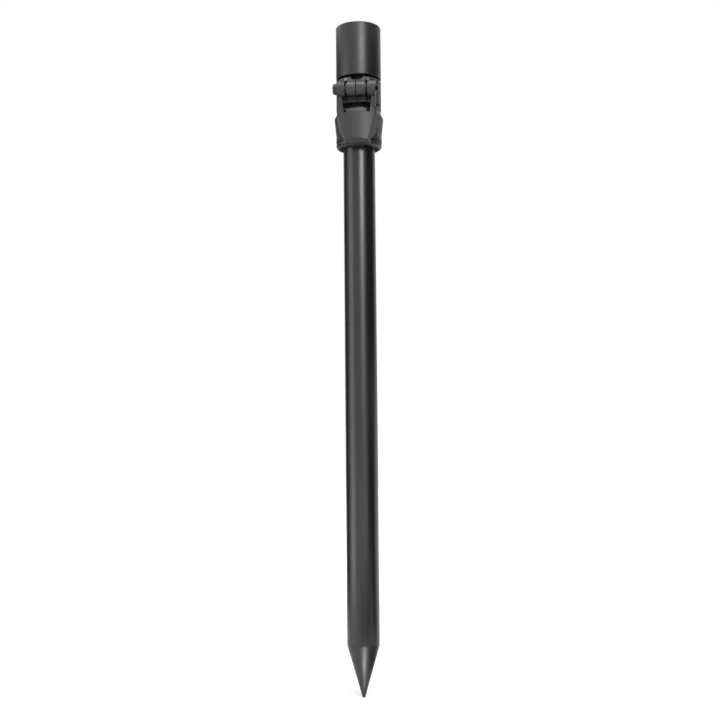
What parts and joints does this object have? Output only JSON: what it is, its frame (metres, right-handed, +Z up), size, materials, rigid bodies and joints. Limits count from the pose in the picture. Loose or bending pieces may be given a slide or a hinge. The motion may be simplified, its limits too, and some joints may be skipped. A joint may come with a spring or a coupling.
{
  "type": "telescopic ground spike",
  "caption": "Telescopic ground spike: a pointed outer tube with a flip-lever clamp that locks a sliding inner tube, whose head takes a threaded fitting.",
  "frame": {"origin": "tip of the cone that enters the ground, on the tubes' axis", "axes": "+Z up along the tubes towards the head, -Y towards the lever, +X along the lever's bolt"},
  "size_m": [0.0294, 0.0341, 0.398],
  "materials": {
    "anodised_tube": "satin black anodised",
    "anodised_head": "satin black anodised, turned",
    "moulded_black": "fine moulded grain",
    "natural_nylon": "plain moulded",
    "blackened_steel": "black oxide",
    "brass": "turned"
  },
  "bodies": {
    "stake": {"outer_tube": "anodised_tube", "spike_point": "anodised_tube", "clamp_collar": "moulded_black", "collar_screw": "blackened_steel", "clamp_liner": "moulded_black", "cam_washers": "blackened_steel"},
    "lever": {"cam_lever": "moulded_black", "clamp_bolt": "blackened_steel", "bolt_insert": "blackened_steel"},
    "guide": {"guide_bush": "natural_nylon"},
    "mast": {"inner_tube": "anodised_tube", "inner_plug": "moulded_black", "head_barrel": "anodised_head", "thread_bush": "brass"}
  },
  "joints": [
    {"name": "lever_flip", "type": "hinge", "parent": "stake", "child": "lever", "pos_m": [0, -0.0145, 0.3561], "axis": [-1, 0, 0], "range_deg": [0, 110]},
    {"name": "telescope", "type": "slide", "parent": "stake", "child": "guide", "axis": [0, 0, 1], "range_m": [0, 0.264]},
    {"name": "mast_turn", "type": "hinge", "parent": "guide", "child": "mast", "pos_m": [0, 0, 0.2], "axis": [0, 0, 1], "continuous": true}
  ]
}
